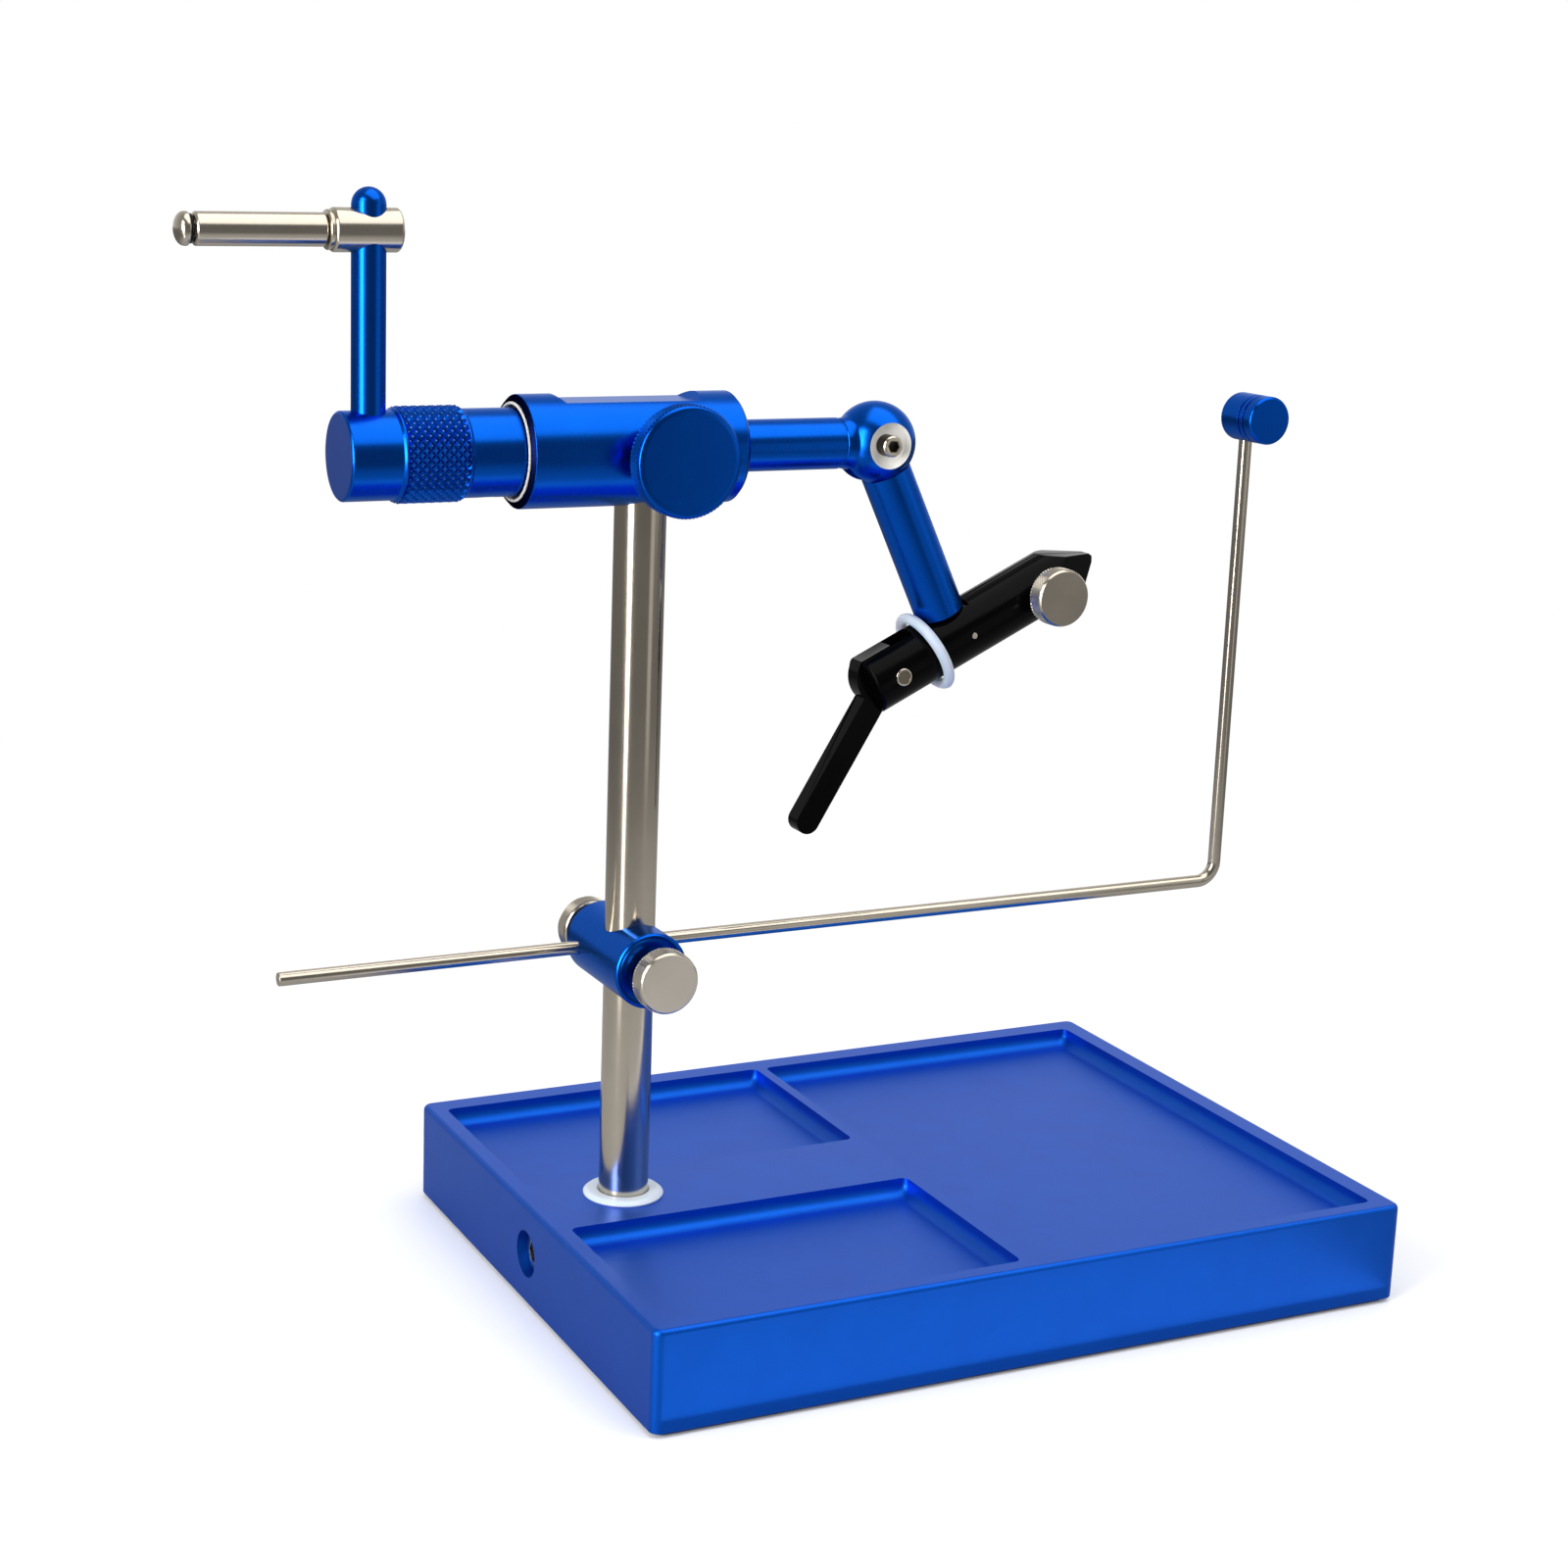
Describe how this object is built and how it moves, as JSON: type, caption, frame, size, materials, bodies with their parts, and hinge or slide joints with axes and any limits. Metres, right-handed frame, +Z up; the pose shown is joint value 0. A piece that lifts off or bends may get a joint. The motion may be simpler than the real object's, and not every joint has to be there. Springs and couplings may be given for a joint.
{
  "type": "fly tying vise",
  "caption": "Rotary fly tying vise with a crank, jaws on a jointed arm, a cam lever and a bobbin cradle, on a post that stands in a flat base with tray pockets.",
  "frame": {"origin": "centre of the base's underside, on the bench", "axes": "+X along the spindle from the crank to the jaws, +Y to the back, away from the adjusting knob, +Z up along the post"},
  "size_m": [0.2273, 0.118, 0.2077],
  "materials": {
    "blue_anodised": "satin blue anodised",
    "steel": "brushed stainless",
    "black_steel": "gloss black oxide",
    "sheet_rubber": "matt black rubber",
    "clear_rubber": "translucent silicone rubber",
    "nylon": "translucent natural nylon",
    "bronze": "oiled sintered bronze"
  },
  "bodies": {
    "base": {"base_plate": "blue_anodised", "base_pad": "sheet_rubber", "base_set_screw": "steel", "post_washer": "nylon"},
    "post": {"post": "steel", "head_body": "blue_anodised", "rear_bush": "bronze", "front_bush": "bronze", "thrust_washer": "steel", "brake_plug": "nylon"},
    "brake": {"brake_knob": "blue_anodised", "brake_stud": "steel"},
    "spindle": {"spindle": "blue_anodised", "crank_hub": "blue_anodised", "hub_set_screw": "steel", "crank_arm": "blue_anodised", "handle_collar": "steel", "handle_pin": "steel", "grip_washer": "sheet_rubber", "pivot_screw": "steel", "pivot_nut": "steel"},
    "handle": {"handle_sleeve": "steel"},
    "arm": {"jaw_arm": "blue_anodised", "arm_screw": "steel", "jaw_back": "black_steel", "jaw_dowel": "steel", "jaw_ring": "clear_rubber", "cam_pin": "steel"},
    "front_jaw": {"jaw_front": "black_steel"},
    "adjuster": {"adjusting_screw": "steel", "adjusting_knob": "steel"},
    "lever": {"cam_lever": "black_steel"},
    "cradle_clamp": {"cradle_block": "blue_anodised"},
    "post_clamp_screw": {"post_thumb_screw": "steel"},
    "rod_clamp_screw": {"rod_thumb_screw": "steel"},
    "cradle": {"cradle_rod": "steel", "cradle_head": "blue_anodised"}
  },
  "joints": [
    {"name": "post_swivel", "type": "hinge", "parent": "base", "child": "post", "pos_m": [-0.0592, 0, 0], "axis": [0, 0, 1], "continuous": true},
    {"name": "spindle_spin", "type": "hinge", "parent": "post", "child": "spindle", "pos_m": [-0.0592, 0, 0.1623], "axis": [1, 0, 0], "continuous": true},
    {"name": "handle_spin", "type": "hinge", "parent": "spindle", "child": "handle", "pos_m": [-0.13, 0, 0.2005], "axis": [1, 0, 0], "continuous": true},
    {"name": "brake_turn", "type": "hinge", "parent": "post", "child": "brake", "pos_m": [-0.0572, 0, 0.1617], "axis": [0, 1, 0], "range_deg": [-180, 45]},
    {"name": "knuckle_tilt", "type": "hinge", "parent": "spindle", "child": "arm", "pos_m": [-0.0118, 0, 0.1623], "axis": [0, 1, 0], "range_deg": [-64, 12]},
    {"name": "cam_swing", "type": "hinge", "parent": "arm", "child": "lever", "pos_m": [-0.00616, 0, 0.11829], "axis": [0, 1, 0], "range_deg": [-58, 30]},
    {"name": "jaw_close", "type": "hinge", "parent": "arm", "child": "front_jaw", "pos_m": [0.02439, 0, 0.13299], "axis": [-0.4337, 0, 0.9011], "range_deg": [-0.5, 0.3]},
    {"name": "adjuster_turn", "type": "hinge", "parent": "arm", "child": "adjuster", "pos_m": [0.02439, 0, 0.13299], "axis": [0, 1, 0], "range_deg": [-720, 360]},
    {"name": "cradle_swing", "type": "hinge", "parent": "post", "child": "cradle_clamp", "pos_m": [-0.0592, 0, 0.0672], "axis": [0, 0, 1], "continuous": true},
    {"name": "post_screw_turn", "type": "hinge", "parent": "cradle_clamp", "child": "post_clamp_screw", "pos_m": [-0.0592, 0, 0.0672], "axis": [0, 1, 0], "range_deg": [-360, 90]},
    {"name": "rod_screw_turn", "type": "hinge", "parent": "cradle_clamp", "child": "rod_clamp_screw", "pos_m": [-0.0592, 0, 0.0672], "axis": [0, 1, 0], "range_deg": [-90, 360]},
    {"name": "rod_slide", "type": "slide", "parent": "cradle_clamp", "child": "cradle", "axis": [1, 0, 0], "range_m": [-0.028, 0.05]}
  ],
  "couplings": [
    {"joint": "jaw_close", "follows": "cam_swing", "ratio": 0.008}
  ]
}
